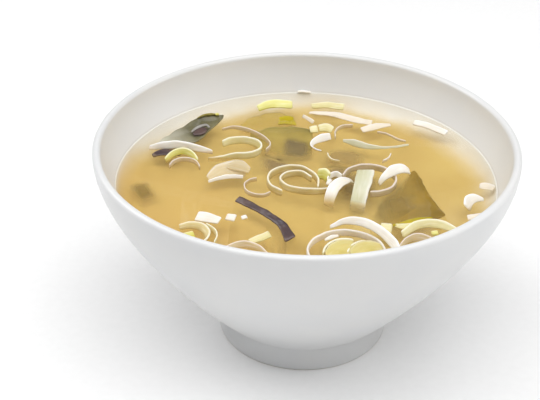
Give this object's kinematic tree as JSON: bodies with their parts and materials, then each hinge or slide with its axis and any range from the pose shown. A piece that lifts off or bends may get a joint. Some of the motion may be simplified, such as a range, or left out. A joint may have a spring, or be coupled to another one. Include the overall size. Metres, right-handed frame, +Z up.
{
  "type": "miso soup",
  "caption": "Footed white porcelain bowl filled with cloudy golden miso soup, with curled leek rings and ribbons and dark wakame leaves floating at its surface.",
  "frame": {"origin": "middle of the foot's underside, on the surface that the bowl stands on", "axes": "+Z up, along the bowl's axis of turning; +X to the right and -Y towards the eater"},
  "size_m": [0.16, 0.16, 0.083],
  "materials": {
    "porcelain": "white, clear glazed, glossy",
    "miso_broth": "cloudy tan-gold liquid, wet gloss",
    "leek_white": "cooked white of leek, moist, finely veined",
    "leek_cream": "cooked cream-green leek, moist, finely veined",
    "leek_lime": "cooked lime-yellow inner leek, moist, finely veined",
    "wakame_green": "soaked wakame leaf, dark olive, wet",
    "wakame_dark": "soaked wakame stem strip, purple-brown, wet"
  },
  "bodies": {
    "root": {"bowl": "porcelain", "leek_arc_far_thin": "leek_white", "leek_arc_front_tan": "leek_cream", "leek_arc_left_white": "leek_white", "leek_arch_front_lime": "leek_lime", "leek_arch_front_tan": "leek_cream", "leek_cap_right": "leek_white", "leek_curl_far_white": "leek_white", "leek_curl_front_left": "leek_cream", "leek_curl_front_left_outer": "leek_lime", "leek_curl_left_cream": "leek_cream", "leek_hoop_left_lime": "leek_lime", "leek_loop_left_thin": "leek_cream", "leek_nest_front_inner": "leek_lime", "leek_nest_front_outer": "leek_cream", "leek_patch_far_pale": "leek_white", "leek_petal_left": "leek_white", "leek_ribbon_front_white": "leek_white", "leek_ribbon_middle_white": "leek_white", "leek_ribbon_right_white": "leek_white", "leek_ring_front_outer": "leek_white", "leek_ring_left_thin": "leek_cream", "leek_ring_middle_inner": "leek_cream", "leek_ring_middle_outer": "leek_cream", "leek_ring_right": "leek_cream", "leek_ring_small_thin": "leek_cream", "leek_slide_middle_green": "leek_cream", "leek_strand_far_lime": "leek_lime", "leek_strand_far_thin": "leek_white", "leek_strip_back_right": "leek_white", "leek_strip_far_lime": "leek_lime", "leek_strip_far_white": "leek_white", "leek_strip_front": "leek_cream", "leek_strip_on_wakame": "leek_lime", "leek_strip_right_rim": "leek_white", "leek_tile_front_left": "leek_white", "soup": "miso_broth", "wakame_leaf_back": "wakame_green", "wakame_leaf_far": "wakame_green", "wakame_leaf_left": "wakame_green", "wakame_leaf_right": "wakame_green", "wakame_strip_front": "wakame_dark"}
  },
  "joints": []
}
